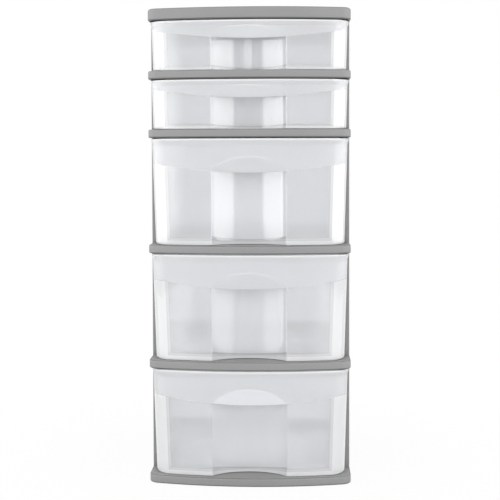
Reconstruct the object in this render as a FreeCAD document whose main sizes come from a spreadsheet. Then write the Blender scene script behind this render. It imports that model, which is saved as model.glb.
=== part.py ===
import FreeCAD, Part
import Sketcher
import math
import os
import re

# A free-standing tower of five clear plastic drawers in a grey plastic frame, in millimetres.
# +Z is up and the drawers open towards -Y. The origin is on the floor, under the middle of the tower.
# Five tiers stand on each other. Each has two side panels and a drawer between two open frames, and a
# cover closes the top. The panels plug into the frames, and nothing is screwed or glued.

Vector = FreeCAD.Vector

SIZES = {
    # The whole tower and its tiers
    "tower_width": 320,
    "tower_depth": 370,
    "front_bow": 21,  # how far the middle of the front edge stands out past its ends
    "base_height": 13,
    "ring_height": 13,
    "cover_height": 18.5,
    "deep_opening": 169.5,
    "shallow_opening": 79,
    # The bands of the base, the frames and the cover
    "band_wall": 3.2,
    "band_corner": 18,
    "back_corner": 12,
    "band_round": 2,
    "cover_round": 4,
    "deck_thick": 2.5,
    "deck_front": 48,
    "deck_side": 28,
    "deck_back": 28,
    "deck_corner": 12,
    "deck_lip": 2.2,
    "tray_margin": 14,
    "tray_deep": 1.2,
    "tray_corner": 24,
    # The side panels
    "panel_thick": 3,
    "panel_inset": 0.5,
    "panel_front": 70,  # from the middle of the front edge back to the panel
    "panel_back": 4,
    "panel_round": 1.2,
    "flange_width": 12,
    "flange_thick": 2.5,
    "back_flange_width": 9,
    "field_margin": 16,
    "field_deep": 0.8,
    "field_corner": 10,
    "peg_thick": 2,
    "peg_wide": 24,
    "peg_margin": 30,
    "peg_long": 6,
    "peg_root": 10,
    "tongue_tall": 5,
    "tongue_margin": 8,
    "plug_gap": 0.3,
    # The drawers
    "run_gap": 0.3,
    "top_gap": 1.5,
    "side_gap": 1.5,
    "close_gap": 0.5,
    "drawer_wall": 1.8,
    "drawer_floor": 2.2,
    "front_inset": 2,
    "head_inset": 3,
    "back_inset": 15,
    "side_draft_share": 0.029,
    "front_lean_share": 0.042,
    "head_corner": 27,
    "head_back_corner": 6,
    "neck_corner": 3,
    "drawer_back_corner": 24,
    "foot_round": 4.5,
    "rim_out": 1.5,
    "rim_tall": 8,
    "lug_gap": 1.5,
    "lug_thick": 3,
    "lug_tall": 12,
    "lug_tip": 2,
    "lug_ahead": 20,
    "stop_gap": 0.5,
    # The finger scoop in each drawer front, under the smile line that ends the frosted zone
    "scoop_half": 59,
    "scoop_deep": 29,
    "scoop_rise_share": 0.65,
    "smile_drop": 54,  # from the deep drawer's top edge down to the middle of the smile line
    "shallow_smile_drop": 29,
    "smile_rise": 16,
    # The raised middle of each drawer floor
    "floor_step": 1.6,
    "step_half": 107,
    "step_front": 68,
    "step_back": 50,
    "step_corner": 16,
    # Extra length of every cutting tool
    "cut_overrun": 4,
}

doc = FreeCAD.newDocument("drawer_tower")
sheet = doc.addObject("Spreadsheet::Sheet", "Sizes")
for row, (alias, value) in enumerate(SIZES.items(), start=1):
    sheet.set(f"A{row}", alias)
    sheet.set(f"B{row}", str(value))
    sheet.setAlias(f"B{row}", alias)
doc.recompute()


def full(text):
    """An expression with the sheet's name put before each of its aliases."""
    return re.sub(r"\b[a-z]+(?:_[a-z]+)+\b", r"Sizes.\g<0>", text)


def size(text):
    """The value of an expression in the sheet's aliases."""
    found = sheet.evalExpression(full(text))
    return float(getattr(found, "Value", found))


def bind(thing, **texts):
    """Ties an object's properties to expressions in the sheet's aliases. Two underscores stand for a dot."""
    for name, text in texts.items():
        thing.setExpression(name.replace("__", "."), full(text))
    return thing


# Sketched outlines. A side of a loop is (kind, place, radius of the corner at its end): kind x is an
# upright line, y a level one, and bow an arc across the Y axis, bowed towards -Y, with its radius last.

HALF_WIDTH = "tower_width / 2"
FRONT = "-tower_depth / 2"
BACK = "tower_depth / 2"
BOW_RADIUS = "((tower_width / 2) ^ 2 + front_bow ^ 2) / (2 * front_bow)"
SMILE_RADIUS = "((tower_width / 2) ^ 2 + smile_rise ^ 2) / (2 * smile_rise)"


class Side:
    def __init__(self, kind, place, corner=None, radius=None):
        self.kind = kind
        self.place = place
        self.at = size(place)
        self.corner = corner
        self.radius_text = radius
        self.radius = size(radius) if radius else None


def meeting(side, other):
    """Where two neighbouring sides of a loop cross."""
    upright, level = (side, other) if side.kind == "x" else (other, side)
    if level.kind == "bow":
        return upright.at, level.at + level.radius - math.sqrt(level.radius**2 - upright.at**2)
    return upright.at, level.at


def rounding(point, side, other, before, after):
    """The centre of a corner's arc, where it leaves its side and where it meets the other side."""
    side_first = side.kind == "x"
    level = other if side_first else side
    up_end, level_end = (before, after) if side_first else (after, before)
    x, y = point
    radius = size(side.corner)
    centre_x = x + math.copysign(radius, level_end[0] - x)
    if level.kind == "bow":
        middle = level.at + level.radius
        inner = level.radius - radius
        centre_y = middle - math.sqrt(inner**2 - centre_x**2)
        stretch = level.radius / inner
        on_level = (centre_x * stretch, middle + (centre_y - middle) * stretch)
    else:
        centre_y = y + math.copysign(radius, up_end[1] - y)
        on_level = (centre_x, y)
    on_upright = (x, centre_y)
    touches = (on_upright, on_level) if side_first else (on_level, on_upright)
    return (centre_x, centre_y), *touches


def arc_round(centre, start, end):
    """The arc round a centre that turns left from its start to its end."""
    begin = math.atan2(start[1] - centre[1], start[0] - centre[0])
    finish = math.atan2(end[1] - centre[1], end[0] - centre[0])
    if finish < begin:
        finish += 2 * math.pi
    radius = math.dist(centre, start)
    return Part.ArcOfCircle(Part.Circle(Vector(*centre, 0), Vector(0, 0, 1), radius), begin, finish)


def tie(sketch, text, *facts):
    """Adds a constraint whose size is bound to an expression."""
    number = sketch.addConstraint(Sketcher.Constraint(*facts, size(text)))
    sketch.renameConstraint(number, f"size_{number}")
    sketch.setExpression(f"Constraints.size_{number}", full(text))


def draw_side(sketch, side, start, end):
    """Adds one side between two points and fixes its place. Returns its number in the sketch."""
    if side.kind == "bow":
        line = sketch.addGeometry(arc_round((0, side.at + side.radius), start, end))
        sketch.addConstraint(Sketcher.Constraint("PointOnObject", line, 3, -2))
        tie(sketch, side.radius_text, "Radius", line)
        tie(sketch, f"{side.place} + {side.radius_text}", "DistanceY", -1, 1, line, 3)
        return line
    line = sketch.addGeometry(Part.LineSegment(Vector(*start, 0), Vector(*end, 0)))
    upright = side.kind == "x"
    sketch.addConstraint(Sketcher.Constraint("Vertical" if upright else "Horizontal", line))
    tie(sketch, side.place, "DistanceX" if upright else "DistanceY", -1, 1, line, 1)
    return line


def draw_loop(sketch, *sides):
    """Draws one closed, fully constrained loop."""
    loop = [Side(*side) for side in sides]
    count = len(loop)
    points = [meeting(loop[i], loop[(i + 1) % count]) for i in range(count)]
    corners = []
    for i, side in enumerate(loop):
        after = points[(i + 1) % count]
        if side.corner:
            corners.append(rounding(points[i], side, loop[(i + 1) % count], points[i - 1], after))
        else:
            corners.append((None, points[i], points[i]))
    lines = [draw_side(sketch, side, corners[i - 1][2], corners[i][1]) for i, side in enumerate(loop)]
    for i, (centre, leave, meet) in enumerate(corners):
        following = lines[(i + 1) % count]
        if centre is None:
            sketch.addConstraint(Sketcher.Constraint("Coincident", lines[i], 2, following, 1))
            continue
        out, back = Vector(*leave, 0) - Vector(*centre, 0), Vector(*meet, 0) - Vector(*centre, 0)
        turns_left = out.cross(back).z > 0
        near, far = (1, 2) if turns_left else (2, 1)
        ends = (leave, meet) if turns_left else (meet, leave)
        arc = sketch.addGeometry(arc_round(centre, *ends))
        sketch.addConstraint(Sketcher.Constraint("Tangent", lines[i], 2, arc, near))
        sketch.addConstraint(Sketcher.Constraint("Tangent", arc, far, following, 1))
        tie(sketch, loop[i].corner, "Radius", arc)


def rectangle(sketch, left, right, front, back, corner=None):
    draw_loop(sketch, ("y", front, corner), ("x", right, corner), ("y", back, corner), ("x", left, corner))


# Bodies made of sketches, pads and pockets


def new_body(label):
    body = doc.addObject("PartDesign::Body", label)
    body.Label = label
    return body


def body_sketch(body, role, offset="0"):
    """A sketch on one of the body's own planes, moved along that plane's normal."""
    sketch = body.newObject("Sketcher::SketchObject", "Sketch")
    plane = next(feature for feature in body.Origin.OriginFeatures if feature.Role == role)
    sketch.AttachmentSupport = [(plane, "")]
    sketch.MapMode = "FlatFace"
    return bind(sketch, AttachmentOffset__Base__z=offset)


def pad(body, sketch, length):
    feature = body.newObject("PartDesign::Pad", "Pad")
    feature.Profile = sketch
    bind(feature, Length=length)
    doc.recompute()
    return feature


def pocket(body, sketch, length, along_normal=False):
    """Cuts a sketch into the body, against the sketch's normal unless told otherwise."""
    before = body.Shape.Volume
    feature = body.newObject("PartDesign::Pocket", "Pocket")
    feature.Profile = sketch
    feature.Reversed = along_normal
    bind(feature, Length=length)
    doc.recompute()
    if body.Shape.Volume >= before:
        raise RuntimeError(f"a pocket of {body.Label} cuts nothing")
    return feature


def round_edges(body, radius, wanted):
    """Fillets the edges of the body's last feature that a test on their boxes picks."""
    base = body.Tip
    names = [f"Edge{i}" for i, edge in enumerate(base.Shape.Edges, start=1) if wanted(edge.BoundBox)]
    feature = body.newObject("PartDesign::Fillet", "Fillet")
    feature.Base = (base, names)
    bind(feature, Radius=radius)
    doc.recompute()
    return feature


# The frames and the cover


def band_loop(sketch, inset="0"):
    """The outline that every band shares, or the same outline further in."""
    front_corner, back_corner = f"band_corner - {inset}", f"back_corner - {inset}"
    draw_loop(
        sketch,
        ("bow", f"{FRONT} + {inset}", front_corner, BOW_RADIUS),
        ("x", f"{HALF_WIDTH} - {inset}", back_corner),
        ("y", f"{BACK} - {inset}", back_corner),
        ("x", f"{inset} - {HALF_WIDTH}", front_corner),
    )


def opening_loop(sketch, outset="0"):
    """The opening in the middle of a frame, or the same outline further out."""
    rectangle(
        sketch,
        f"deck_side - {HALF_WIDTH} - {outset}",
        f"{HALF_WIDTH} - deck_side + {outset}",
        f"{FRONT} + deck_front - {outset}",
        f"{BACK} - deck_back + {outset}",
        f"deck_corner + {outset}",
    )


PLATE_OUT = f"{HALF_WIDTH} - panel_inset"
PLATE_IN = f"{HALF_WIDTH} - panel_inset - panel_thick"
PANEL_FRONT = f"{FRONT} + panel_front"
PANEL_BACK = f"{BACK} - panel_back"


def peg_loops(sketch, hand, outset="0"):
    """The two pegs under a side panel, or the slots that they drop into."""
    inner = f"{hand} * ({PLATE_IN} - peg_thick - {outset})"
    outer = f"{hand} * ({PLATE_IN} + {outset})"
    near = f"{PANEL_FRONT} + peg_margin"
    far = f"{PANEL_BACK} - peg_margin"
    for front, back in ((near, f"{near} + peg_wide"), (f"{far} - peg_wide", far)):
        rectangle(sketch, inner, outer, f"{front} - {outset}", f"{back} + {outset}")


def make_frame(label, height, floor):
    """An open frame: a band, a deck that the drawer runs on, and a hollow underside."""
    body = new_body(label)
    outline = body_sketch(body, "XY_Plane")
    band_loop(outline)
    pad(body, outline, height)
    top = size(height)
    round_edges(body, "band_round", lambda box: box.ZLength < top / 2)
    opening = body_sketch(body, "XY_Plane")
    opening_loop(opening)
    pocket(body, opening, height, along_normal=True)
    hollow = body_sketch(body, "XY_Plane")
    band_loop(hollow, "band_wall")
    opening_loop(hollow, "deck_lip")
    pocket(body, hollow, f"{height} - deck_thick", along_normal=True)
    slots = body_sketch(body, "XY_Plane", height)
    for hand in (1, -1):
        peg_loops(slots, hand, "plug_gap")
    pocket(body, slots, "deck_thick")
    return bind(body, Placement__Base__z=floor)


def make_cover(label, floor):
    """The closed cover: a deeper band, softly rounded, with a shallow tray in its top."""
    body = new_body(label)
    outline = body_sketch(body, "XY_Plane")
    band_loop(outline)
    pad(body, outline, "cover_height")
    top = size("cover_height")
    round_edges(body, "cover_round", lambda box: box.ZMin > top / 2)
    round_edges(body, "band_round", lambda box: box.ZMax < top / 2)
    hollow = body_sketch(body, "XY_Plane")
    band_loop(hollow, "band_wall")
    pocket(body, hollow, "cover_height - deck_thick - tray_deep", along_normal=True)
    tray = body_sketch(body, "XY_Plane", "cover_height")
    rectangle(
        tray,
        f"tray_margin - {HALF_WIDTH}",
        f"{HALF_WIDTH} - tray_margin",
        f"{FRONT} + front_bow + tray_margin",
        f"{BACK} - tray_margin",
        "tray_corner",
    )
    pocket(body, tray, "tray_deep")
    return bind(body, Placement__Base__z=floor)


# The side panels


def make_panel(label, hand, opening, floor):
    """A flanged panel with a recessed outer field, a tongue along its top and two pegs under it."""
    body = new_body(label)
    section = body_sketch(body, "XY_Plane")
    draw_loop(
        section,
        ("y", PANEL_FRONT, "panel_round"),
        ("x", f"{hand} * ({PLATE_OUT})", "panel_round"),
        ("y", PANEL_BACK),
        ("x", f"{hand} * ({PLATE_OUT} - back_flange_width)"),
        ("y", f"{PANEL_BACK} - flange_thick"),
        ("x", f"{hand} * ({PLATE_IN})"),
        ("y", f"{PANEL_FRONT} + flange_thick"),
        ("x", f"{hand} * ({PLATE_OUT} - flange_width)"),
    )
    pad(body, section, opening)
    tongue = body_sketch(body, "XY_Plane", f"{opening} - peg_root")
    rectangle(
        tongue,
        f"{hand} * ({PLATE_IN} - peg_thick)",
        f"{hand} * ({PLATE_IN})",
        f"{PANEL_FRONT} + flange_thick + tongue_margin",
        f"{PANEL_BACK} - flange_thick - tongue_margin",
    )
    pad(body, tongue, "peg_root + tongue_tall")
    pegs = body_sketch(body, "XY_Plane", "-peg_long")
    peg_loops(pegs, hand)
    pad(body, pegs, "peg_long + peg_root")
    field = body_sketch(body, "YZ_Plane", f"{hand} * ({PLATE_OUT})")
    rectangle(
        field,
        f"{PANEL_FRONT} + field_margin",
        f"{PANEL_BACK} - field_margin",
        "field_margin",
        f"{opening} - field_margin",
        "field_corner",
    )
    pocket(body, field, "field_deep", along_normal=hand < 0)
    return bind(body, Placement__Base__z=floor)


# The drawers

HEAD_HALF = f"{HALF_WIDTH} - head_inset - rim_out"
BODY_HALF = f"{PLATE_OUT} - flange_width - side_gap - rim_out"
DRAWER_FRONT = f"{FRONT} + front_inset + rim_out"
DRAWER_BACK = f"{BACK} - back_inset - rim_out"
HEAD_BACK = f"{PANEL_FRONT} - close_gap - rim_out"
SCOOP_RADIUS = "(scoop_half ^ 2 + scoop_deep ^ 2) / (2 * scoop_deep)"
SLOPE = "sqrt(1 + scoop_rise_share ^ 2)"


def part_object(kind, name, **links):
    thing = doc.addObject(kind, name)
    for link, value in links.items():
        setattr(thing, link, value)
    return thing


def drawer_outline(name, level, drop, grow):
    """The drawer's outline on one level, which lies the drop below its top and is set out by grow.

    The front part is wider than the rest and covers the flanges of the side panels.
    """
    sketch = doc.addObject("Sketcher::SketchObject", name)
    bind(sketch, Placement__Base__z=level)
    draft = f"side_draft_share * ({drop})"
    front = f"{DRAWER_FRONT} + front_lean_share * ({drop}) - ({grow})"
    head = f"{HEAD_HALF} - {draft} + ({grow})"
    body = f"{BODY_HALF} - {draft} + ({grow})"
    head_back = f"{HEAD_BACK} + ({grow})"
    back = f"{DRAWER_BACK} - {draft} + ({grow})"
    corner, outside = f"head_corner + ({grow})", f"head_back_corner + ({grow})"
    neck, far = f"neck_corner - ({grow})", f"drawer_back_corner + ({grow})"
    draw_loop(
        sketch,
        ("bow", front, corner, BOW_RADIUS),
        ("x", head, outside),
        ("y", head_back, neck),
        ("x", body, far),
        ("y", back, far),
        ("x", f"-({body})", neck),
        ("y", head_back, outside),
        ("x", f"-({head})", corner),
    )
    return sketch


def drafted_block(name, height, floor, grow, radius):
    """The solid between a drawer's outlines at its floor and at its top, rounded along its foot."""
    low = drawer_outline(f"{name}_low", floor, f"{height} - ({floor})", grow)
    high = drawer_outline(f"{name}_high", height, "0", grow)
    block = part_object("Part::Loft", f"{name}_block", Sections=[low, high], Solid=True, Ruled=True)
    doc.recompute()
    foot = size(floor)
    near = size(radius) / 2
    edges = [i for i, edge in enumerate(block.Shape.Edges, start=1) if edge.BoundBox.ZMax < foot + near]
    rounded = part_object("Part::Fillet", f"{name}_rounded", Base=block)
    rounded.Edges = [(i, size(radius), size(radius)) for i in edges]
    return rounded


def scoop(name, height, smile, grow):
    """The finger scoop: a round post that leans with the front, under a ceiling that climbs inwards."""
    face = f"{DRAWER_FRONT} + front_lean_share * {smile}"
    foot = f"{DRAWER_FRONT} + front_lean_share * ({height} + cut_overrun)"
    section = part_object("Part::Circle", f"{name}_section")
    bind(
        section,
        Radius=f"{SCOOP_RADIUS} + {grow}",
        Placement__Base__y=f"{foot} + scoop_deep - {SCOOP_RADIUS}",
        Placement__Base__z="-cut_overrun",
    )
    post = part_object("Part::Extrusion", f"{name}_post", Base=section, DirMode="Custom", Solid=True)
    post.Dir = Vector(0, -size("front_lean_share"), 1)
    bind(post, LengthFwd=f"({height} + 2 * cut_overrun) * sqrt(1 + front_lean_share ^ 2)")
    reach = f"scoop_deep + {grow} + 2 * cut_overrun"
    start = f"{height} - {smile} + {grow} * {SLOPE} - cut_overrun * scoop_rise_share"
    edge = doc.addObject("Sketcher::SketchObject", f"{name}_edge")
    edge.Placement.Rotation = FreeCAD.Rotation(Vector(1, 0, 0), 90)
    bind(edge, Placement__Base__y=f"{face} - cut_overrun")
    draw_loop(
        edge,
        ("bow", start, None, SMILE_RADIUS),
        ("x", "scoop_half * 2"),
        ("y", f"-({reach})"),
        ("x", "-scoop_half * 2"),
    )
    blade = part_object("Part::Extrusion", f"{name}_blade", Base=edge, DirMode="Custom", Solid=True)
    blade.Dir = Vector(0, 1, size("scoop_rise_share"))
    bind(blade, LengthFwd=f"({reach}) * {SLOPE}")
    return part_object("Part::MultiCommon", name, Shapes=[post, blade])


def floor_step(name, outset, height, floor):
    """The block whose top is the raised middle of the floor, seen from below or from inside."""
    outline = doc.addObject("Sketcher::SketchObject", f"{name}_outline")
    bind(outline, Placement__Base__z=floor)
    rectangle(
        outline,
        f"-step_half - {outset}",
        f"step_half + {outset}",
        f"{FRONT} + step_front - {outset}",
        f"{BACK} - step_back + {outset}",
        f"step_corner + {outset}",
    )
    block = part_object("Part::Extrusion", name, Base=outline, DirMode="Custom", Solid=True)
    block.Dir = Vector(0, 0, 1)
    return bind(block, LengthFwd=height)


def stop_lug(name, hand, height):
    """A three-cornered lug beside a back corner, which meets the panel's flange at full travel."""
    root = f"{BODY_HALF} - drawer_wall"
    reach = f"{PLATE_IN} - peg_thick - lug_gap"
    wide = f"{reach} - ({root})"
    lug = part_object("Part::Wedge", name)
    lug.Placement.Rotation = FreeCAD.Rotation(Vector(1, 0, 0), -90)
    tip = "0" if hand > 0 else f"{wide} - lug_tip"
    return bind(
        lug,
        Xmin="0",
        Xmax=wide,
        X2min=tip,
        X2max=f"{tip} + lug_tip",
        Ymin="0",
        Ymax="lug_tall",
        Zmin="0",
        Zmax="lug_thick",
        Z2min="0",
        Z2max="lug_thick",
        Placement__Base__x=root if hand > 0 else f"-({reach})",
        Placement__Base__y=f"{DRAWER_BACK} - lug_ahead - lug_thick",
        Placement__Base__z=height,
    )


def make_drawer(label, opening, smile, floor):
    """A one-piece clear drawer: a drafted shell with a rim, a finger scoop, a raised floor and two lugs."""
    height = f"{opening} - run_gap - top_gap"
    outside = drafted_block(f"{label}_outside", height, "0", "0", "foot_round")
    rim_outline = drawer_outline(f"{label}_rim_outline", f"{height} - rim_tall", "0", "rim_out")
    rim = part_object("Part::Extrusion", f"{label}_rim", Base=rim_outline, DirMode="Custom", Solid=True)
    rim.Dir = Vector(0, 0, 1)
    bind(rim, LengthFwd="rim_tall")
    shell = part_object("Part::MultiFuse", f"{label}_shell", Shapes=[outside, rim])
    dent = scoop(f"{label}_scoop", height, smile, "0")
    recess = floor_step(f"{label}_recess", "0", "floor_step + cut_overrun", "-cut_overrun")
    carved = part_object("Part::MultiFuse", f"{label}_carved", Shapes=[dent, recess])
    dented = part_object("Part::Cut", f"{label}_dented", Base=shell, Tool=carved)
    round_inside = "foot_round - drawer_wall"
    inside = drafted_block(f"{label}_inside", height, "drawer_floor", "-drawer_wall", round_inside)
    bulge = scoop(f"{label}_bulge", height, smile, "drawer_wall")
    step = floor_step(f"{label}_step", "drawer_wall", "drawer_floor + floor_step", "0")
    kept = part_object("Part::MultiFuse", f"{label}_kept", Shapes=[bulge, step])
    space = part_object("Part::Cut", f"{label}_space", Base=inside, Tool=kept)
    hollow = part_object("Part::Cut", f"{label}_hollow", Base=dented, Tool=space)
    lugs = [stop_lug(f"{label}_{side}_lug", hand, height) for side, hand in (("left", -1), ("right", 1))]
    drawer = part_object("Part::MultiFuse", f"{label}_whole", Shapes=[hollow, *lugs])
    drawer.Label = label
    return bind(drawer, Placement__Base__z=f"{floor} + run_gap")


# The tower, from the floor up

nodes = [make_frame("base_frame", "base_height", "0")]
floor = "base_height"
for tier in (5, 4, 3, 2, 1):
    deep = tier > 2
    opening = "deep_opening" if deep else "shallow_opening"
    smile = "smile_drop" if deep else "shallow_smile_drop"
    nodes.append(make_panel(f"side_panel_left_{tier}", -1, opening, floor))
    nodes.append(make_panel(f"side_panel_right_{tier}", 1, opening, floor))
    nodes.append(make_drawer(f"drawer_{tier}", opening, smile, floor))
    floor = f"{floor} + {opening}"
    if tier > 1:
        nodes.append(make_frame(f"shelf_frame_{tier - 1}", "ring_height", floor))
        floor = f"{floor} + ring_height"
nodes.append(make_cover("top_cover", floor))
doc.recompute()

for thing in doc.Objects:
    if "Invalid" in thing.State or "Error" in thing.State:
        raise RuntimeError(f"{thing.Label} is {thing.State}")
for node in nodes:
    if node.Shape.isNull() or not node.Shape.isValid():
        raise RuntimeError(f"{node.Label} has no valid shape")

os.makedirs("parts", exist_ok=True)
for node in nodes:
    node.Shape.exportStep(f"parts/{node.Label}.step")
    box = node.Shape.BoundBox
    print(
        f"{node.Label}: {len(node.Shape.Solids)} solid, {node.Shape.Volume / 1000:.1f} cm3,"
        f" x {box.XMin:.1f} {box.XMax:.1f}, y {box.YMin:.1f} {box.YMax:.1f}, z {box.ZMin:.1f} {box.ZMax:.1f}"
    )

lug_front = size(f"{DRAWER_BACK} - lug_ahead - lug_thick")
flange_back = size(f"{PANEL_FRONT} + flange_thick")
print(f"drawer travel {lug_front - flange_back - size('stop_gap'):.2f}")
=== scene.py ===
import math

import bmesh
import bpy
import numpy as np
from mathutils import Matrix, Vector


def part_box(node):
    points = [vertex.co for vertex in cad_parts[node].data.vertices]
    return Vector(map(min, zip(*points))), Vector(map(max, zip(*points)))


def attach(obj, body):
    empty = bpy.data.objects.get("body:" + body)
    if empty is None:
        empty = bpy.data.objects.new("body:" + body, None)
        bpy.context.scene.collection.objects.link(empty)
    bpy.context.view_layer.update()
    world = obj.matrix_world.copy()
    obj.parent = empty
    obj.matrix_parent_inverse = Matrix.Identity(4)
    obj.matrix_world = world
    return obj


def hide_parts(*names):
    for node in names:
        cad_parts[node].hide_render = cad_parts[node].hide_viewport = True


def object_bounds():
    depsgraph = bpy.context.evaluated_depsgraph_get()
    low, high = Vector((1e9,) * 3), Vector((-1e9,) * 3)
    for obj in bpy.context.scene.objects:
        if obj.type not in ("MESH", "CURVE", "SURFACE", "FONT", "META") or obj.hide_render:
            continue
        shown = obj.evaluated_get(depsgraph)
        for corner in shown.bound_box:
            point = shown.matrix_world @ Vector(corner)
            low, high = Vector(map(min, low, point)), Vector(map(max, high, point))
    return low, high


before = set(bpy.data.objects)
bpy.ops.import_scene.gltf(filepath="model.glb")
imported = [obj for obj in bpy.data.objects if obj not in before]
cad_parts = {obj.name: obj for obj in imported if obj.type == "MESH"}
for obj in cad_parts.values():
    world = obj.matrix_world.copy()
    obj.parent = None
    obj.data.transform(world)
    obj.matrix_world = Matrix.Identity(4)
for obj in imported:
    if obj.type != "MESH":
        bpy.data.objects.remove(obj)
cad_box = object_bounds()

# The looks of the drawer tower: moulded skins for its frames, cover and drawers, their plastics, and a plain
# white studio. The tower's sizes are in millimetres and become metres when a mesh is made. The studio's and
# the camera's are in metres.

MM = 0.001

# The whole tower, and how far its front bows out
HALF_WIDTH = cad_box[1][0] / MM
FRONT = cad_box[0][1] / MM
BACK = cad_box[1][1] / MM
BOW = 21
BOW_RADIUS = (HALF_WIDTH**2 + BOW**2) / (2 * BOW)

# The bands of the frames and the cover, the decks inside them, and the tray in the top of the cover
BAND_WALL = 3.2
BAND_CORNER = 18
BACK_CORNER = 12
BAND_ROUND = 2
COVER_ROUND = 4
DECK_THICK = 2.5
DECK_FRONT = 48
DECK_SIDE = 28
DECK_BACK = 28
DECK_CORNER = 12
DECK_LIP = 2.2
EDGE = 0.6
TRAY_MARGIN = 14
TRAY_DEEP = 1.2
TRAY_CORNER = 24

# The drawers' walls, their corners seen from above, the rounding at their foot, and their rim
WALL = 1.8
FLOOR = 2.2
HEAD_CORNER = 27
HEAD_BACK_CORNER = 6
NECK_CORNER = 3
DRAWER_BACK_CORNER = 24
FOOT_ROUND = 4.5
FRONT_FOOT_ROUND = 1
RIM_OUT = 1.5
RIM_TALL = 8
RIM_ROUND = 0.7
# How far down from its top the rim is painted near white, as a painted highlight
RIM_PAINTED_HIGHLIGHT = 2.4
RIM_TAPER = 4
SIDE_DRAFT = 0.029
FRONT_LEAN = 0.042

# What the drawers keep clear of: the tower's outline, and the side panels with their pegs and flanges
HEAD_INSET = 3
FRONT_INSET = 2
BACK_INSET = 15
PANEL_FRONT = 70
PANEL_INSET = 0.5
PANEL_THICK = 3
PEG_THICK = 2
FLANGE_WIDTH = 12
SIDE_GAP = 1.5
CLOSE_GAP = 0.5

# The stop lugs at the drawers' back corners
LUG_GAP = 1.5
LUG_THICK = 3
LUG_TALL = 12
LUG_TIP = 2
LUG_AHEAD = 20
LUG_ROUND = 0.4
LUG_STEPS = 2

# The finger scoop, the smile line that its roof climbs to, and the arch with its line above that
SCOOP_HALF = 59
SCOOP_DEEP = 29
SCOOP_RISE = 0.65
SCOOP_SHOULDER = 2.5
SCOOP_BESIDE = (3, 8)
SMILE_RISE = 16
SMILE_RADIUS = (HALF_WIDTH**2 + SMILE_RISE**2) / (2 * SMILE_RISE)
SMILE_LIP = 0.6
ARCH_LEAST = 0.3
ARCH_LINE = 0.9

# What differs between a deep and a shallow drawer: how far its smile line is below its top, how much its arch
# rises for the scoop's depth, and how tall the painted highlight on its foot is, as a share. A deep one is
# over
# DEEP_FROM tall.
DEEP_FROM = 120
DEEP_HEAD = (54, 0.86, 1)
SHALLOW_HEAD = (29, 0.66, 0.5)

# The painted highlight on the foot is lower by this share at the bottom of the scoop. The arch is painted
# whiter, as painted light, where the drawer's floor is under this height, which is so in the lowest drawer.
SCOOP_HIGHLIGHT_LESS = 0.5
ARCH_PAINTED_LIGHT_UNDER = 50

# The raised middle of the drawer floor
STEP = 1.6
STEP_HALF = 107
STEP_FRONT = 68
STEP_BACK = 76
STEP_CORNER = 16
STEP_EDGE = 0.5


# Outlines seen from above. Each is the right half, from the middle of the front to the middle of the back.

BOW_STEPS = 26
FRONT_STEPS = 12
SIDE_STEPS = 8
BACK_STEPS = 8
LAST_STEPS = 8
OUTLINE_STEPS = (BOW_STEPS, FRONT_STEPS, SIDE_STEPS, BACK_STEPS, LAST_STEPS)


def shares(count):
    """The shares of a stretch at the ends of its steps."""
    return np.linspace(0, 1, count + 1)[1:]


def arc(centre, radius, start, finish, count):
    """Points of an arc after its first one, with the angles in degrees."""
    turn = np.radians(np.linspace(start, finish, count + 1)[1:])
    return np.column_stack((centre[0] + radius * np.cos(turn), centre[1] + radius * np.sin(turn)))


def line(start, finish, count):
    """Points of a straight stretch after its first one."""
    return np.array(start) + shares(count)[:, None] * (np.array(finish) - np.array(start))


def band_half(inset=0):
    """The outer outline of a frame or the cover, set in."""
    radius = BOW_RADIUS - inset
    corner = BAND_CORNER - inset
    half = HALF_WIDTH - inset
    middle = FRONT + BOW_RADIUS
    x = half - corner
    y = middle - math.sqrt((radius - corner) ** 2 - x**2)
    slant = math.degrees(math.atan2(y - middle, x))
    back_corner = BACK_CORNER - inset
    side_end = BACK - BACK_CORNER
    return np.concatenate((
        [(0, FRONT + inset)],
        arc((0, middle), radius, -90, slant, BOW_STEPS),
        arc((x, y), corner, slant, 0, FRONT_STEPS),
        line((half, y), (half, side_end), SIDE_STEPS),
        arc((half - back_corner, side_end), back_corner, 0, 90, BACK_STEPS),
        line((half - back_corner, BACK - inset), (0, BACK - inset), LAST_STEPS),
    ))


def rectangle_half(half, front, back, corner, counts=OUTLINE_STEPS):
    """The outline of a rectangle with rounded corners."""
    x = half - corner
    return np.concatenate((
        [(0, front)],
        line((0, front), (x, front), counts[0]),
        arc((x, front + corner), corner, -90, 0, counts[1]),
        line((half, front + corner), (half, back - corner), counts[2]),
        arc((x, back - corner), corner, 0, 90, counts[3]),
        line((x, back), (0, back), counts[4]),
    ))


def opening_half(outset=0):
    """The opening in the middle of a frame, set out."""
    return rectangle_half(
        HALF_WIDTH - DECK_SIDE + outset,
        FRONT + DECK_FRONT - outset,
        BACK - DECK_BACK + outset,
        DECK_CORNER + outset,
    )


def tray_half(outset=0):
    """The shallow tray in the top of the cover, set out."""
    return rectangle_half(
        HALF_WIDTH - TRAY_MARGIN + outset,
        FRONT + BOW + TRAY_MARGIN - outset,
        BACK - TRAY_MARGIN + outset,
        TRAY_CORNER + outset,
    )


# Skins between rows of points

SHARP_FROM = math.radians(32)


def ring(half, heights):
    """A closed row of points from its right half and its heights."""
    right = np.column_stack((half, np.broadcast_to(heights, len(half))))
    return np.concatenate((right, right[-2:0:-1] * (-1, 1, 1)))


def rounding(radius, count, start, finish):
    """Sine and cosine steps of a rounded edge as (out, up), with angles in degrees from straight out."""
    turn = np.radians(np.linspace(start, finish, count + 1))
    return [(radius * math.cos(t), radius * math.sin(t)) for t in turn]


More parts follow.
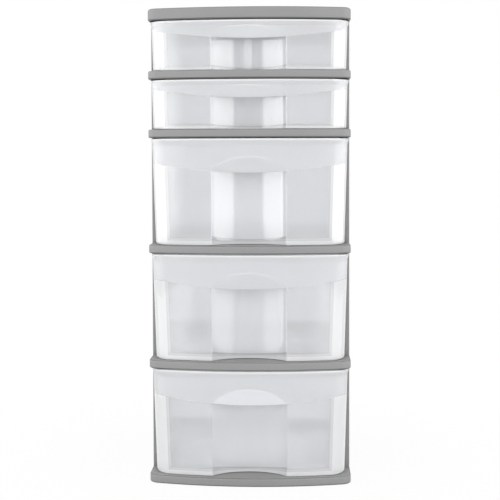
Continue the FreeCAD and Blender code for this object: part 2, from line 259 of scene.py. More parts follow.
def skin(name, rows, materials, strips, open_ended=True):
    """A closed mesh over rows of points. Each goes round to the left seen from above, and the rows lead
    from the underside outwards and up. Its first and last rows are filled or joined to each other. strips
    gives the material of the faces above each row, as one number or as one for each face."""
    count, around = len(rows), len(rows[0])
    points = np.concatenate(rows) * MM
    faces, kinds = [], []
    for k in range(count - 1 if open_ended else count):
        low, high = k * around, (k + 1) % count * around
        for j in range(around):
            i = (j + 1) % around
            faces.append((low + j, low + i, high + i, high + j))
        kinds += list(np.broadcast_to(strips[k], around))
    if open_ended:
        faces.append(tuple(range(around - 1, -1, -1)))
        faces.append(tuple(range((count - 1) * around, count * around)))
        kinds += [0, 0]
    mesh = bpy.data.meshes.new(name)
    mesh.from_pydata(points.tolist(), [], faces)
    for material in materials:
        mesh.materials.append(material)
    mesh.polygons.foreach_set("material_index", kinds)
    mesh.shade_smooth()
    mesh.set_sharp_from_angle(angle=SHARP_FROM)
    piece = bpy.data.objects.new(name, mesh)
    bpy.context.scene.collection.objects.link(piece)
    return piece


# Materials


def linear(hex_colour):
    """An sRGB hex colour as linear RGBA."""
    parts = [int(hex_colour[i:i + 2], 16) / 255 for i in (1, 3, 5)]
    return [c / 12.92 if c <= 0.04045 else ((c + 0.055) / 1.055) ** 2.4 for c in parts] + [1]


def emptied(owner):
    """The node tree of a material, a world or a lamp, without its first nodes."""
    owner.use_nodes = True
    owner.node_tree.nodes.clear()
    return owner.node_tree


def node(tree, kind, links=(), values=(), **settings):
    """Adds a node. links gives sockets that take another node's output, values sockets that get a value."""
    added = tree.nodes.new(kind)
    for name, value in settings.items():
        setattr(added, name, value)
    for socket, output in dict(links).items():
        tree.links.new(output, added.inputs[socket])
    for socket, value in dict(values).items():
        added.inputs[socket].default_value = value
    return added


def moulded_plastic(name, relief, values, clouds=None):
    """A plastic with the relief of its mould: the width of its waves or grains, their detail, their strength
    and their depth. clouds, where its colour varies, gives their width, their detail and both colours."""
    width, detail, strength, depth = relief
    material = bpy.data.materials.new(name)
    tree = emptied(material)
    place = node(tree, "ShaderNodeTexCoord").outputs["Object"]
    grain = node(tree, "ShaderNodeTexNoise", {"Vector": place}, {"Scale": 1 / (width * MM), "Detail": detail})
    bump = node(tree, "ShaderNodeBump", {"Height": grain.outputs["Fac"]},
                {"Strength": strength, "Distance": depth * MM})
    links = {"Normal": bump.outputs["Normal"]}
    if clouds:
        width, detail, dark, light = clouds
        drift = node(tree, "ShaderNodeTexNoise", {"Vector": place},
                     {"Scale": 1 / (width * MM), "Detail": detail})
        colour = node(tree, "ShaderNodeMix", {"Factor": drift.outputs["Fac"]},
                      {"A": linear(dark), "B": linear(light)}, data_type="RGBA")
        links["Base Color"] = colour.outputs["Result"]
    surface = node(tree, "ShaderNodeBsdfPrincipled", links, values)
    node(tree, "ShaderNodeOutputMaterial", {"Surface": surface.outputs["BSDF"]})
    return material


# Reliefs, with widths and depths in millimetres. The two grains are really about a tenth of a millimetre wide,
# too fine to show, so they are drawn as coarse as they need to be.
FLOW_WAVES = (60, 1, 0.5, 0.4)
THICK_FLOW_WAVES = (30, 1, 0.3, 0.3)
ETCHED_GRAIN = (0.8, 2, 0.3, 0.05)
SPARKED_GRAIN = (1.2, 3, 0.4, 0.06)


def clear_polystyrene(name, colour, clear):
    """Crystal polystyrene, injection moulded in a polished mould: clear and glossy, with faint flow waves."""
    return moulded_plastic(name, FLOW_WAVES, {
        "Base Color": linear(colour),
        "Roughness": 0.07,
        "IOR": 1.5,
        "Transmission Weight": clear,
        "Coat Weight": 1,
        "Coat Roughness": 0.03,
    })


def frosted_polystyrene(name, colour, clear):
    """The same plastic where the mould is etched: fine grains spread the light, so what is behind blurs."""
    return moulded_plastic(name, ETCHED_GRAIN, {
        "Base Color": linear(colour),
        "Roughness": 0.5,
        "IOR": 1.5,
        "Transmission Weight": clear,
        "Coat Weight": 1,
        "Coat Roughness": 0.2,
    })


def highlight_polystyrene(name, colour, clear):
    """The same plastic in its thick rim and foot and along edge lines, painted near white: a painted highlight
    for the light that the walls carry out there.
    """
    return moulded_plastic(name, THICK_FLOW_WAVES, {
        "Base Color": linear(colour),
        "Roughness": 0.2,
        "IOR": 1.5,
        "Transmission Weight": clear,
    })


def grey_polypropylene(name, dark, light, roughness, gloss):
    """Grey polypropylene, injection moulded with a fine spark-eroded grain: an even satin grey."""
    return moulded_plastic(name, SPARKED_GRAIN, {
        "Roughness": roughness,
        "IOR": 1.49,
        "Specular IOR Level": gloss,
    }, clouds=(70, 2, dark, light))


# From the clearest wall to the whitest, then the other finishes. The scoop's wall is painted whiter as painted
# light, the graded walls and the near white one as painted highlights, and the last finish, the arch's, as
# painted light.
PLASTICS = [
    clear_polystyrene("clear_moulded_polystyrene", "#F8F9FC", 0.6),
    clear_polystyrene("scoop_painted_light_polystyrene", "#F8F9FC", 0.42),
    clear_polystyrene("highlight_grade_1_polystyrene", "#F0F1F3", 0.55),
    clear_polystyrene("highlight_grade_2_polystyrene", "#E8E9EB", 0.3),
    clear_polystyrene("highlight_grade_3_polystyrene", "#E6E7E8", 0.05),
    highlight_polystyrene("painted_highlight_polystyrene", "#FCFDFE", 0.2),
    frosted_polystyrene("frosted_moulded_polystyrene", "#E6E7EA", 0.35),
    frosted_polystyrene("floor_moulded_polystyrene", "#FCFCFD", 0.8),
    frosted_polystyrene("arch_painted_light_polystyrene", "#F0F1F6", 0.25),
]
CLEAR, SCOOP_PAINTED_LIGHT, HIGHLIGHT_GRADE_1, HIGHLIGHT_GRADE_2, HIGHLIGHT_GRADE_3, WHITE_HIGHLIGHT, FROSTED, FLOOR_MILKY, ARCH_PAINTED_LIGHT = range(len(PLASTICS))

# The drawer's foot is painted white as a painted highlight that fades upwards: how high above its rounding
# each finish reaches, in a deep drawer
FOOT_PAINTED_HIGHLIGHT = ((2.5, WHITE_HIGHLIGHT), (6, HIGHLIGHT_GRADE_3), (10, HIGHLIGHT_GRADE_2), (14, HIGHLIGHT_GRADE_1))

# The frames and the cover are painted darker along their rounded edges, as painted shade. The side panels are
# polished.
GREYS = [
    grey_polypropylene("grey_moulded_polypropylene", "#8F8F8F", "#979797", 0.5, 0.3),
    grey_polypropylene("painted_shade_edge_polypropylene", "#6C6C6C", "#727272", 0.5, 0.3),
]
EVEN, SHADED_EDGE = range(len(GREYS))
PANEL_GREY = grey_polypropylene("grey_polished_polypropylene", "#8F8F8F", "#979797", 0.22, 0.5)


# The frames and the cover

UNDER_ROWS = 5
TOP_HALF_ROWS = 3
EDGE_ROWS = 2


def outer_wall(height, top_round):
    """Rows up the outside of a band, from its flat underside to its flat top, and their finishes, with painted
    shade on its lower rounding and on the upper half of its top rounding.
    """
    rows = [ring(band_half(BAND_ROUND - out), BAND_ROUND + up)
            for out, up in rounding(BAND_ROUND, UNDER_ROWS, -90, 0)]
    rows += [ring(band_half(top_round - out), height - top_round + up)
             for out, up in rounding(top_round, 2 * TOP_HALF_ROWS, 0, 90)]
    return rows, [SHADED_EDGE] * UNDER_ROWS + [EVEN] * (1 + TOP_HALF_ROWS) + [SHADED_EDGE] * TOP_HALF_ROWS + [EVEN]


def inner_edge(half, height):
    """Rows over the rounded edge between the flat top and a hole in it, whose outline half gives."""
    return [ring(half(EDGE - out), height - EDGE + up) for out, up in rounding(EDGE, EDGE_ROWS, 90, 0)]


def moulded_frame(name, height, floor):
    """An open frame: a rounded band, a flat deck with an opening, and a hollow underside."""
    rows, finishes = outer_wall(height, BAND_ROUND)
    rows += inner_edge(opening_half, height)
    rows += [ring(opening_half(EDGE - out), EDGE + up) for out, up in rounding(EDGE, EDGE_ROWS, 0, -90)]
    rows += [
        ring(opening_half(DECK_LIP), 0),
        ring(opening_half(DECK_LIP), height - DECK_THICK),
        ring(band_half(BAND_WALL), height - DECK_THICK),
        ring(band_half(BAND_WALL), 0),
    ]
    rows = [row + (0, 0, floor) for row in rows]
    finishes += [EVEN] * (len(rows) - len(finishes))
    return skin(name, rows, GREYS, finishes, open_ended=False)


def moulded_cover(name, height, floor):
    """The closed cover: a deeper band with a softer top edge, a tray in its top and a hollow underside."""
    ceiling = height - DECK_THICK - TRAY_DEEP
    rows, finishes = outer_wall(height, COVER_ROUND)
    rows = [ring(band_half(BAND_WALL), ceiling), ring(band_half(BAND_WALL), 0)] + rows
    finishes = [EVEN] * 2 + finishes
    rows += inner_edge(tray_half, height)
    rows += [ring(tray_half(), height - TRAY_DEEP)]
    rows = [row + (0, 0, floor) for row in rows]
    finishes += [EVEN] * (len(rows) - len(finishes))
    return skin(name, rows, GREYS, finishes)


# The drawers

# Points of each stretch of a drawer's outline, from the middle of the scoop to the middle of the back
HOLLOW_COUNT = 24
SHOULDER_COUNT = 6
FRONT_COUNT = 14
HEAD_CORNER_COUNT = 14
HEAD_SIDE_COUNT = 3
HEAD_BACK_COUNT = 5
NECK_COUNT = 6
BODY_COUNT = 8
DRAWER_BACK_COUNT = 12
REAR_COUNT = 10

# The points at which a stretch starts, and all of them. The scoop's finishes go on a little past its hollow.
FRONT_AT = HOLLOW_COUNT + SHOULDER_COUNT + len(SCOOP_BESIDE)
CORNER_AT = FRONT_AT + FRONT_COUNT
SIDE_AT = CORNER_AT + HEAD_CORNER_COUNT
NECK_AT = SIDE_AT + HEAD_SIDE_COUNT + HEAD_BACK_COUNT
COLUMNS = NECK_AT + NECK_COUNT + BODY_COUNT + DRAWER_BACK_COUNT + REAR_COUNT
SCOOPED_TO = HOLLOW_COUNT + 1
ROOFED_TO = HOLLOW_COUNT + 3

# Rows of points up the outside and down the inside
STEP_EDGE_ROWS = 2
FOOT_ROWS = 6
WALL_ROWS = 10
ROOF_ROWS = 6
ARCH_ROWS = 5
FROST_ROWS = 6
RIM_ROWS = 3
INNER_HEAD_ROWS = 8
INNER_FOOT_ROWS = 4

HEAD_HALF = HALF_WIDTH - HEAD_INSET - RIM_OUT
BODY_HALF = HALF_WIDTH - PANEL_INSET - FLANGE_WIDTH - SIDE_GAP - RIM_OUT
DRAWER_FRONT = FRONT + FRONT_INSET + RIM_OUT
DRAWER_BACK = BACK - BACK_INSET - RIM_OUT
HEAD_BACK = FRONT + PANEL_FRONT - CLOSE_GAP - RIM_OUT


def scoop_columns():
    """The scoop's plan beside its middle: places along and into the front, and the way into the plastic."""
    radius = (SCOOP_HALF**2 + SCOOP_DEEP**2) / (2 * SCOOP_DEEP)
    inner = radius - SCOOP_DEEP
    shoulder_x = math.sqrt((radius + SCOOP_SHOULDER) ** 2 - (SCOOP_SHOULDER + inner) ** 2)
    bend = math.atan2(SCOOP_SHOULDER + inner, shoulder_x)
    turn = np.linspace(math.pi / 2, bend, HOLLOW_COUNT)
    hollow = np.column_stack((radius * np.cos(turn), radius * np.sin(turn) - inner))
    hollow_in = np.column_stack((np.cos(turn), np.sin(turn)))
    turn = np.linspace(math.pi + bend, 3 * math.pi / 2, SHOULDER_COUNT + 1)[1:]
    way = np.column_stack((np.cos(turn), np.sin(turn)))
    shoulder = np.array((shoulder_x, SCOOP_SHOULDER)) + SCOOP_SHOULDER * way
    flat = np.array([(shoulder_x + beside, 0) for beside in SCOOP_BESIDE])
    flat_in = np.array([(0, 1) for _ in SCOOP_BESIDE])
    return np.concatenate((hollow, shoulder, flat)), np.concatenate((hollow_in, -way, flat_in))


SCOOP_PLAN, SCOOP_IN = scoop_columns()


def drawer_half(drop, grow, scooped):
    """The right half of the drawer's outline. drop, how far below the top, grow, how far set out, and
    scooped, from 0 at the plain front to 1 in the scoop, may differ from column to column."""
    drop, grow, scooped = (np.broadcast_to(np.asarray(v, float), COLUMNS) for v in (drop, grow, scooped))
    points = np.zeros((COLUMNS, 2))
    front = DRAWER_FRONT + FRONT_LEAN * drop - grow
    head = HEAD_HALF - SIDE_DRAFT * drop + grow
    body = BODY_HALF - SIDE_DRAFT * drop + grow
    back = DRAWER_BACK - SIDE_DRAFT * drop + grow
    head_back = HEAD_BACK + grow
    corner = HEAD_CORNER + grow
    middle = front + BOW_RADIUS
    centre_x = head - corner
    centre_y = middle - np.sqrt((BOW_RADIUS - corner) ** 2 - centre_x**2)
    slant = np.arctan2(centre_y - middle, centre_x)
    start = 0

    def stretch(count):
        nonlocal start
        part = slice(start, start + count)
        start += count
        return part

    part = stretch(FRONT_AT)
    inwards = -grow[part]
    x = SCOOP_PLAN[:, 0] + scooped[part] * inwards * SCOOP_IN[:, 0]
    into = scooped[part] * (SCOOP_PLAN[:, 1] + inwards * (SCOOP_IN[:, 1] - 1))
    points[part] = np.column_stack((x, middle[part] - np.sqrt(BOW_RADIUS**2 - x**2) + into))

    part = stretch(FRONT_COUNT)
    reach = SCOOP_PLAN[-1, 0]
    x = reach + shares(FRONT_COUNT) * (BOW_RADIUS * np.cos(slant[part]) - reach)
    points[part] = np.column_stack((x, middle[part] - np.sqrt(BOW_RADIUS**2 - x**2)))

    part = stretch(HEAD_CORNER_COUNT)
    turn = slant[part] * (1 - shares(HEAD_CORNER_COUNT))
    points[part, 0] = centre_x[part] + corner[part] * np.cos(turn)
    points[part, 1] = centre_y[part] + corner[part] * np.sin(turn)

    part = stretch(HEAD_SIDE_COUNT)
    outside = HEAD_BACK_CORNER + grow[part]
    points[part, 0] = head[part]
    points[part, 1] = centre_y[part] + shares(HEAD_SIDE_COUNT) * (head_back[part] - outside - centre_y[part])

    part = stretch(HEAD_BACK_COUNT)
    outside = HEAD_BACK_CORNER + grow[part]
    turn = shares(HEAD_BACK_COUNT) * math.pi / 2
    points[part, 0] = head[part] - outside + outside * np.cos(turn)
    points[part, 1] = head_back[part] - outside + outside * np.sin(turn)

    part = stretch(NECK_COUNT)
    neck = NECK_CORNER - grow[part]
    turn = -math.pi / 2 - np.linspace(0, 1, NECK_COUNT) * math.pi / 2
    points[part, 0] = body[part] + neck + neck * np.cos(turn)
    points[part, 1] = head_back[part] + neck + neck * np.sin(turn)

    part = stretch(BODY_COUNT)
    neck = NECK_CORNER - grow[part]
    rear = DRAWER_BACK_CORNER + grow[part]
    long = back[part] - rear - head_back[part] - neck
    points[part, 0] = body[part]
    points[part, 1] = head_back[part] + neck + shares(BODY_COUNT) * long

    part = stretch(DRAWER_BACK_COUNT)
    rear = DRAWER_BACK_CORNER + grow[part]
    turn = shares(DRAWER_BACK_COUNT) * math.pi / 2
    points[part, 0] = body[part] - rear + rear * np.cos(turn)
    points[part, 1] = back[part] - rear + rear * np.sin(turn)

    part = stretch(REAR_COUNT)
    rear = DRAWER_BACK_CORNER + grow[part]
    points[part, 0] = (body[part] - rear) * (1 - shares(REAR_COUNT))
    points[part, 1] = back[part]
    return points


def step_half_outline(outset):
    """The raised middle of the floor, with as many points as the drawer's outline."""
    side_count = COLUMNS - SIDE_AT - DRAWER_BACK_COUNT - REAR_COUNT
    return rectangle_half(
        STEP_HALF + outset,
        FRONT + STEP_FRONT - outset,
        BACK - STEP_BACK + outset,
        STEP_CORNER + outset,
        (CORNER_AT - 1, HEAD_CORNER_COUNT, side_count, DRAWER_BACK_COUNT, REAR_COUNT),
    )


def smile_heights(height, drop):
    """The height of the smile line at each column: it curves up from the middle and stays level behind."""
    x = drawer_half(0, 0, 0)[:, 0]
    x[SIDE_AT:] = x[SIDE_AT - 1]
    return height - drop + SMILE_RADIUS - np.sqrt(SMILE_RADIUS**2 - x**2)


def finishes_round(*stretches):
    """The finish of each face round the drawer, from pairs of a finish and the column it starts at."""
    kinds = np.zeros(COLUMNS - 1, int)
    for finish, start in stretches:
        kinds[start:] = finish
    return np.concatenate((kinds, kinds[::-1]))


# The finishes round the drawer at one height: its walls, the roof of the scoop and the roof's front edge, the
# frosted front, the arched line on it, and the side of the rim. The walls are painted whiter towards the
# corners as a painted highlight and in the scoop as painted light, and the roof's front edge, the arched line
# and the side of the rim behind the front are painted near white as highlights.
WALL_FINISHES = finishes_round(
    (SCOOP_PAINTED_LIGHT, 0),
    (CLEAR, SCOOPED_TO),
    (HIGHLIGHT_GRADE_1, CORNER_AT - 3),
    (HIGHLIGHT_GRADE_2, CORNER_AT - 2),
    (HIGHLIGHT_GRADE_3, CORNER_AT - 1),
    (HIGHLIGHT_GRADE_1, SIDE_AT + 1),
    (CLEAR, NECK_AT),
)
ROOF_FINISHES = finishes_round((SCOOP_PAINTED_LIGHT, 0), (CLEAR, ROOFED_TO), (HIGHLIGHT_GRADE_1, CORNER_AT), (CLEAR, NECK_AT))
ROOF_EDGE_FINISHES = finishes_round((WHITE_HIGHLIGHT, 0), (CLEAR, ROOFED_TO))
FROST_FINISHES = finishes_round((FROSTED, 0), (CLEAR, NECK_AT))
ARCH_LINE_FINISHES = finishes_round((WHITE_HIGHLIGHT, 0), (FROSTED, ROOFED_TO), (CLEAR, NECK_AT))
RIM_FINISHES = finishes_round((FROSTED, 0), (WHITE_HIGHLIGHT, NECK_AT))


def clear_drawer(name, height, floor):
    """A one-piece drawer: its outside from the floor up over the rim, and its inside back down."""
    smile_drop, arch_rise, lit_tall = DEEP_HEAD if height > DEEP_FROM else SHALLOW_HEAD
    smile = smile_heights(height, smile_drop)
    deep = np.zeros(COLUMNS)
    deep[:FRONT_AT] = SCOOP_PLAN[:, 1]
    # In the lowest drawer the arch is painted whiter, as painted light
    arch_plastic = ARCH_PAINTED_LIGHT if floor < ARCH_PAINTED_LIGHT_UNDER else FROSTED
    arch_finishes = finishes_round((arch_plastic, 0), (FROSTED, ROOFED_TO), (CLEAR, NECK_AT))
    rows, strips = [], []

    def add(z, grow, scooped, finish=WALL_FINISHES):
        """Adds a row at height z and the finish of the faces above it. The last one's may be changed."""
        z = np.broadcast_to(np.asarray(z, float), COLUMNS)
        rows.append(ring(drawer_half(height - z, grow, scooped), z))
        strips.append(finish)

    def add_step(outset, z):
        """Adds a row of the raised middle of the floor."""
        rows.append(ring(step_half_outline(outset), z))
        strips.append(FLOOR_MILKY)

    # The underside of the floor, and the rounded foot, painted near white as a painted highlight
    for out, up in rounding(STEP_EDGE, STEP_EDGE_ROWS, 90, 0):
        add_step(out - STEP_EDGE, STEP - STEP_EDGE + up)
    for out, up in rounding(STEP_EDGE, STEP_EDGE_ROWS, 180, 270):
        add_step(STEP_EDGE + out, STEP_EDGE + up)
    foot = np.full(COLUMNS, float(FOOT_ROUND))
    foot[:CORNER_AT] = FRONT_FOOT_ROUND
    foot[CORNER_AT:SIDE_AT] = np.linspace(FRONT_FOOT_ROUND, FOOT_ROUND, HEAD_CORNER_COUNT)
    for out, up in rounding(1, FOOT_ROWS, -90, 0):
        add(foot * (1 + up), foot * (out - 1), 1, WHITE_HIGHLIGHT)

    # The wall up to the roof of the scoop, with its foot painted white as a highlight that fades upwards
    lit_share = lit_tall * (1 - SCOOP_HIGHLIGHT_LESS * deep / SCOOP_DEEP)
    for lit, finish in FOOT_PAINTED_HIGHLIGHT:
        strips[-1] = np.maximum(WALL_FINISHES, finish)
        wall_foot = foot + lit * lit_share
        add(wall_foot, 0, 1)
    crown = smile + SCOOP_RISE * deep
    for share in shares(WALL_ROWS):
        add(wall_foot + share * (crown - wall_foot), 0, 1)

    # The roof, which comes out of the scoop to the smile line with its front edge painted near white as a
    # highlight, the arch, painted whiter as painted light in the lowest drawer, its line, painted near white
    # over the scoop as a highlight, and the frosted front
    strips[-1] = ROOF_EDGE_FINISHES
    for share in shares(ROOF_ROWS):
        add(crown + share * (smile + SMILE_LIP - crown), 0, 1 - share, ROOF_FINISHES)
    strips[-1] = arch_finishes
    arch_top = smile + SMILE_LIP + np.maximum(arch_rise * deep, ARCH_LEAST)
    for share in shares(ARCH_ROWS):
        add(smile + SMILE_LIP + share * (arch_top - smile - SMILE_LIP), 0, 0, arch_finishes)
    strips[-1] = ARCH_LINE_FINISHES
    add(arch_top + ARCH_LINE, 0, 0, FROST_FINISHES)
    rim = height - RIM_TALL
    low = arch_top + ARCH_LINE
    for share in shares(FROST_ROWS):
        add(low + share * (rim - low), 0, 0, FROST_FINISHES)

    # The rim, out over its taper and its upper edge, painted near white as a highlight, and in again
    strips[-1] = RIM_FINISHES
    add(rim + RIM_TAPER, RIM_OUT, 0, RIM_FINISHES)
    add(height - RIM_PAINTED_HIGHLIGHT, RIM_OUT, 0, WHITE_HIGHLIGHT)
    for out, up in rounding(RIM_ROUND, RIM_ROWS, 0, 90):
        add(height - RIM_ROUND + up, RIM_OUT - RIM_ROUND + out, 0, WHITE_HIGHLIGHT)
    for out, up in rounding(RIM_ROUND, RIM_ROWS, 90, 0):
        add(height - RIM_ROUND + up, RIM_ROUND - out - WALL, 0, WHITE_HIGHLIGHT)

    # The inside: the upper wall, the scoop's roof, the lower wall, the foot and the raised floor
    high = smile + WALL * (math.hypot(1, SCOOP_RISE) + SCOOP_RISE)
    for share in shares(INNER_HEAD_ROWS):
        add(height - RIM_ROUND + share * (high - height + RIM_ROUND), -WALL, 0)
    for share in shares(ROOF_ROWS):
        add(high + share * (SCOOP_RISE * deep - SMILE_LIP), -WALL, share)
    inner_round = FOOT_ROUND - WALL
    low = FLOOR + inner_round
    crown = high + SCOOP_RISE * deep - SMILE_LIP
    for share in shares(WALL_ROWS):
        add(crown + share * (low - crown), -WALL, 1)
    for out, up in rounding(inner_round, INNER_FOOT_ROWS, 0, -90)[1:]:
        add(low + up, out - inner_round - WALL, 1)
    strips[-1] = FLOOR_MILKY
    for out, up in rounding(STEP_EDGE, STEP_EDGE_ROWS, 270, 180):
        add_step(WALL + STEP_EDGE + out, FLOOR + STEP_EDGE + up)
    for out, up in rounding(STEP_EDGE, STEP_EDGE_ROWS, 0, 90):
        add_step(WALL - STEP_EDGE + out, FLOOR + STEP - STEP_EDGE + up)
    return skin(name, [row + (0, 0, floor) for row in rows], PLASTICS, strips)


def lug_setter():
    """A tree that sets out copies of one lug round the drawer's upright middle line, evenly turned."""
    tree = bpy.data.node_groups.new("lug_setter", "GeometryNodeTree")
    inputs = (("Lug", "Geometry"), ("Number", "Int"), ("Middle", "Vector"), ("Plastic", "Material"))
    for name, kind in inputs:
        tree.interface.new_socket(name, in_out="INPUT", socket_type=f"NodeSocket{kind}")
    tree.interface.new_socket("Lugs", in_out="OUTPUT", socket_type="NodeSocketGeometry")
    given = node(tree, "NodeGroupInput").outputs
    middles = node(tree, "GeometryNodePoints", {"Count": given["Number"], "Position": given["Middle"]})
    which = node(tree, "GeometryNodeInputIndex")
    share = node(tree, "ShaderNodeMath", {0: which.outputs["Index"], 1: given["Number"]}, operation="DIVIDE")
    turned = node(tree, "ShaderNodeMath", {0: share.outputs[0]}, {1: 2 * math.pi}, operation="MULTIPLY")
    spin = node(tree, "ShaderNodeCombineXYZ", {"Z": turned.outputs[0]})
    copies = node(tree, "GeometryNodeInstanceOnPoints", {
        "Points": middles.outputs["Points"],
        "Instance": given["Lug"],
        "Rotation": spin.outputs["Vector"],
    })
    real = node(tree, "GeometryNodeRealizeInstances", {"Geometry": copies.outputs["Instances"]})
    finished = node(tree, "GeometryNodeSetMaterial", {
        "Geometry": real.outputs["Geometry"],
        "Material": given["Plastic"],
    })
    node(tree, "NodeGroupOutput", {"Lugs": finished.outputs["Geometry"]})
    return tree


LUG_SETTER = lug_setter()


def stop_lugs(name, height, floor):
    """The two three-cornered lugs beside the back corners, just outside the drawer's wall. One is shaped
    beside the drawer's middle line, and the other is its copy, half a turn on."""
    reach = HALF_WIDTH - PANEL_INSET - PANEL_THICK - PEG_THICK - LUG_GAP
    outline = ((BODY_HALF, 0), (reach, 0), (BODY_HALF + LUG_TIP, LUG_TALL), (BODY_HALF, LUG_TALL))
    built = bmesh.new()
    near, far = ([built.verts.new((x * MM, y * MM, -drop * MM)) for x, drop in outline]
                 for y in (-LUG_THICK / 2, LUG_THICK / 2))
    built.faces.new(near)
    built.faces.new(far[::-1])
    for i in range(len(outline)):
        j = (i + 1) % len(outline)
        built.faces.new((near[i], far[i], far[j], near[j]))
    bmesh.ops.recalc_face_normals(built, faces=built.faces)
    bmesh.ops.bevel(built, geom=built.edges[:], offset=LUG_ROUND * MM, segments=LUG_STEPS, affect="EDGES")
    mesh = bpy.data.meshes.new(f"one_{name}")
    built.to_mesh(mesh)
    built.free()
    piece = bpy.data.objects.new(name, mesh)
    bpy.context.scene.collection.objects.link(piece)
    setter = piece.modifiers.new("lug_setter", "NODES")
    setter.node_group = LUG_SETTER
    asked = {
        "Number": 2,
        "Middle": (0, (DRAWER_BACK - LUG_AHEAD - LUG_THICK / 2) * MM, (floor + height) * MM),
        "Plastic": PLASTICS[CLEAR],
    }
    for item in LUG_SETTER.interface.items_tree:
        if item.name in asked:
            setter[item.identifier] = asked[item.name]
    made = bpy.data.meshes.new_from_object(piece.evaluated_get(bpy.context.evaluated_depsgraph_get()))
    piece.modifiers.remove(setter)
    piece.data = made
    return piece


# The pieces, each on the body that carries it

for node_name in sorted(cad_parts):
    low, high = (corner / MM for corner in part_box(node_name))
    height = high[2] - low[2]
    if node_name.startswith("drawer"):
        shell = clear_drawer(f"clear_{node_name}", height, low[2])
        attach(shell, node_name)
        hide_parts(node_name)
        lugs = stop_lugs(f"stop_lugs_{node_name}", height, low[2])
        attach(lugs, node_name)
    elif node_name.startswith("side_panel"):
        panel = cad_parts[node_name]
        panel.data.materials.clear()
        panel.data.materials.append(PANEL_GREY)
    else:
        make = moulded_cover if node_name == "top_cover" else moulded_frame
        skinned = make(f"moulded_{node_name}", height, low[2])
        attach(skinned, "tower")
        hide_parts(node_name)


# The studio: a white world and floor, three softboxes at each side and one in front

# How strongly the world lights matte surfaces from in front, behind, above and below, and the share of that
# from the sides. Each span is the part of a direction, backwards, upright or sideways, over which it changes.
FRONT_LIGHT = 1.4
REAR_LIGHT = 1.25
REAR_SPAN = (-0.2, 0.6)
HIGH_LIGHT = 1.2
HIGH_SPAN = (0.3, 0.9)
SIDE_LIGHT = 0.6
SIDE_SPAN = (0.6, 0.95)

# The floor, and how much darker it looks beside the tower than from SHADE_FAR on
FLOOR_HALF = 5
FLOOR_COLOUR = "#E6E6E6"
FLOOR_SHADE = 0.06
SHADE_NEAR = 0.25
SHADE_FAR = 0.6

# Each side has a tall softbox with a high one over it, and a weak low one nearer the tower. They show in gloss
# and clear plastic alone. A row gives the kind, the radiance, the front and rear ends of the right-hand one on
# the floor, its bottom and top, and the shares of its width and height over which its front and bottom fade.
SIDE_SOFTBOXES = (
    ("tall", 2.4, (0.80, -1.75), (1.45, 0.55), 0.12, 0.76, 0.16, 0.12),
    ("high", 2.4, (0.87, -1.50), (1.45, 0.55), 0.76, 1.7, 0.05, 0.01),
    ("low", 1.0, (0.25, -0.66), (0.56, -0.05), 0.03, 0.23, 0.2, 0.1),
)

# A small one far in front stands in the uppermost scoop as a light streak. It has no fading edge.
FRONT_SOFTBOX = ("front", 1.4, (-0.375, -2.75), (0.375, -2.75), 0.6, 0.95)

SMOOTH = {"interpolation_type": "SMOOTHSTEP"}


def seen_white(tree):
    """1 for the camera and for what gloss and clear plastic show, 0 for the light on matte surfaces."""
    path = node(tree, "ShaderNodeLightPath").outputs
    either = node(tree, "ShaderNodeMath", {0: path["Is Camera Ray"], 1: path["Is Glossy Ray"]},
                  operation="MAXIMUM")
    return node(tree, "ShaderNodeMath", {0: either.outputs[0], 1: path["Is Transmission Ray"]},
                operation="MAXIMUM").outputs[0]


def white_world():
    """A world that looks plain white, and lights matte surfaces less from the sides than from elsewhere."""
    world = bpy.data.worlds.new("white_studio")
    bpy.context.scene.world = world
    tree = emptied(world)
    way = node(tree, "ShaderNodeTexCoord")
    parts = node(tree, "ShaderNodeSeparateXYZ", {0: way.outputs["Generated"]}).outputs
    steep, aside = (node(tree, "ShaderNodeMath", {0: parts[axis]}, operation="ABSOLUTE").outputs[0]
                    for axis in ("Z", "X"))
    around = node(tree, "ShaderNodeMapRange", {"Value": parts["Y"]}, {
        "From Min": REAR_SPAN[0], "From Max": REAR_SPAN[1], "To Min": FRONT_LIGHT, "To Max": REAR_LIGHT,
    }, **SMOOTH)
    level = node(tree, "ShaderNodeMapRange", {"Value": steep, "To Min": around.outputs["Result"]}, {
        "From Min": HIGH_SPAN[0], "From Max": HIGH_SPAN[1], "To Max": HIGH_LIGHT,
    }, **SMOOTH)
    flagged = node(tree, "ShaderNodeMapRange", {"Value": aside}, {
        "From Min": SIDE_SPAN[0], "From Max": SIDE_SPAN[1], "To Min": 1, "To Max": SIDE_LIGHT,
    }, **SMOOTH)
    matte_light = node(tree, "ShaderNodeMath", {0: level.outputs["Result"], 1: flagged.outputs["Result"]},
                       operation="MULTIPLY")
    strength = node(tree, "ShaderNodeMapRange",
                    {"Value": seen_white(tree), "To Min": matte_light.outputs[0]}, {"To Max": 1})
    background = node(tree, "ShaderNodeBackground", {"Strength": strength.outputs["Result"]},
                      {"Color": (1, 1, 1, 1)})
    node(tree, "ShaderNodeOutputWorld", {"Surface": background.outputs["Background"]})


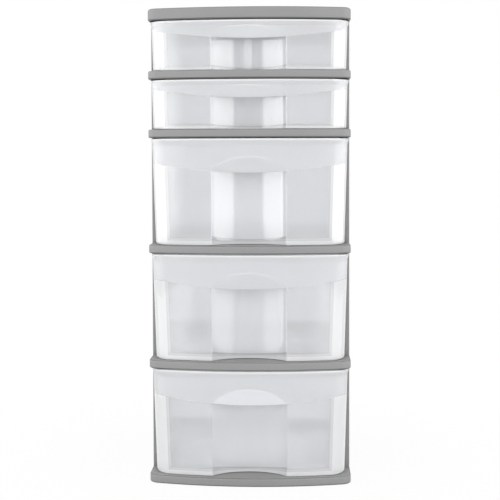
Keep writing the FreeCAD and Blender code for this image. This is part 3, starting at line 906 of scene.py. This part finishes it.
def white_sweep():
    """The floor's material: pale and matte to the light, white to the eye but for the tower's soft shade."""
    material = bpy.data.materials.new("white_sweep")
    tree = emptied(material)
    matte = node(tree, "ShaderNodeBsdfDiffuse", values={"Color": linear(FLOOR_COLOUR)})
    glow = node(tree, "ShaderNodeEmission", values={"Color": (1, 1, 1, 1), "Strength": 1})
    place = node(tree, "ShaderNodeTexCoord")
    far = node(tree, "ShaderNodeVectorMath", {0: place.outputs["Object"]}, operation="LENGTH")
    shade = node(tree, "ShaderNodeMapRange", {"Value": far.outputs["Value"]}, {
        "From Min": SHADE_NEAR, "From Max": SHADE_FAR, "To Min": 1 - FLOOR_SHADE, "To Max": 1,
    }, **SMOOTH)
    white = node(tree, "ShaderNodeMath", {0: seen_white(tree), 1: shade.outputs["Result"]},
                 operation="MULTIPLY")
    mixed = node(tree, "ShaderNodeMixShader", {0: white.outputs[0], 1: matte.outputs[0], 2: glow.outputs[0]})
    node(tree, "ShaderNodeOutputMaterial", {"Surface": mixed.outputs[0]})
    return material


def floor_sheet():
    """The studio's floor."""
    corners = [(x * FLOOR_HALF, y * FLOOR_HALF, 0) for x, y in ((-1, -1), (1, -1), (1, 1), (-1, 1))]
    mesh = bpy.data.meshes.new("studio_floor")
    mesh.from_pydata(corners, [], [(0, 1, 2, 3)])
    mesh.materials.append(white_sweep())
    sheet = bpy.data.objects.new("studio_floor", mesh)
    bpy.context.scene.collection.objects.link(sheet)
    return sheet


def softbox(name, radiance, start, end, low, high):
    """An upright lamp that stands from start to end and shines to the left of that way."""
    lamp = bpy.data.lights.new(f"softbox_{name}", "AREA")
    along = Vector((*end, 0)) - Vector((*start, 0))
    lamp.shape = "RECTANGLE"
    lamp.size, lamp.size_y = along.length, high - low
    lamp.energy = radiance * math.pi * lamp.size * lamp.size_y
    along.normalize()
    up = Vector((0, 0, 1))
    standing = bpy.data.objects.new(lamp.name, lamp)
    standing.location = ((start[0] + end[0]) / 2, (start[1] + end[1]) / 2, (low + high) / 2)
    standing.rotation_euler = Matrix((along, up, along.cross(up))).transposed().to_euler()
    standing.visible_camera = False
    standing.visible_diffuse = False
    bpy.context.scene.collection.objects.link(standing)
    return lamp


def fade(lamp, hand, front_fade, low_fade):
    """Fades the lamp at its front end and its bottom edge. Its front end is where X is 0, or 1 on the left."""
    tree = emptied(lamp)
    place = node(tree, "ShaderNodeNewGeometry")
    parts = node(tree, "ShaderNodeSeparateXYZ", {0: place.outputs["Parametric"]}).outputs
    front = (1 - hand) / 2
    lit = [node(tree, "ShaderNodeMapRange", {"Value": parts[axis]}, {"From Min": edge, "From Max": full},
                **SMOOTH).outputs["Result"]
           for axis, edge, full in (("X", front, front + hand * front_fade), ("Y", 0, low_fade))]
    both = node(tree, "ShaderNodeMath", {0: lit[0], 1: lit[1]}, operation="MULTIPLY")
    glow = node(tree, "ShaderNodeEmission", {"Strength": both.outputs[0]})
    node(tree, "ShaderNodeOutputLight", {"Surface": glow.outputs["Emission"]})


white_world()
studio_floor = floor_sheet()
for hand, side in ((-1, "left"), (1, "right")):
    for kind, radiance, front_end, rear_end, low, high, front_fade, low_fade in SIDE_SOFTBOXES:
        ends = [(hand * x, y) for x, y in (front_end, rear_end)]
        lamp = softbox(f"{kind}_{side}", radiance, *ends[::hand], low, high)
        fade(lamp, hand, front_fade, low_fade)
softbox(*FRONT_SOFTBOX)


# The camera, fitted to the tower's edges in the photograph

PHOTO_WIDTH = 500
SENSOR_WIDTH = 36
FOCAL_PIXELS = 1105
EYE_FAR = 1.754
EYE_HEIGHT = 0.519
AIM_DEPTH = -0.145
YAW = math.radians(2.31)
PITCH = math.radians(1.90)
ROLL = math.radians(-0.17)
SHIFT_X_PIXELS = 0.42
SHIFT_Y_PIXELS = -57.7

lens = bpy.data.cameras.new("photo_camera")
lens.sensor_width = SENSOR_WIDTH
lens.lens = SENSOR_WIDTH * FOCAL_PIXELS / PHOTO_WIDTH
lens.shift_x = SHIFT_X_PIXELS / PHOTO_WIDTH
lens.shift_y = SHIFT_Y_PIXELS / PHOTO_WIDTH
camera = bpy.data.objects.new("photo_camera", lens)
ahead = Vector((-math.sin(YAW), math.cos(YAW), 0))
eye = Vector((0, AIM_DEPTH, EYE_HEIGHT)) - EYE_FAR * ahead
level_aim = Matrix.Rotation(YAW, 4, "Z") @ Matrix.Rotation(math.pi / 2 - PITCH, 4, "X")
camera.matrix_world = Matrix.Translation(eye) @ level_aim @ Matrix.Rotation(ROLL, 4, "Z")

# Light passes many clear walls in a row, so it gets as many bounces
BOUNCES = 32

scene = bpy.context.scene
scene.collection.objects.link(camera)
scene.camera = camera
scene.view_settings.view_transform = "Standard"
scene.cycles.max_bounces = BOUNCES
scene.cycles.transmission_bounces = BOUNCES
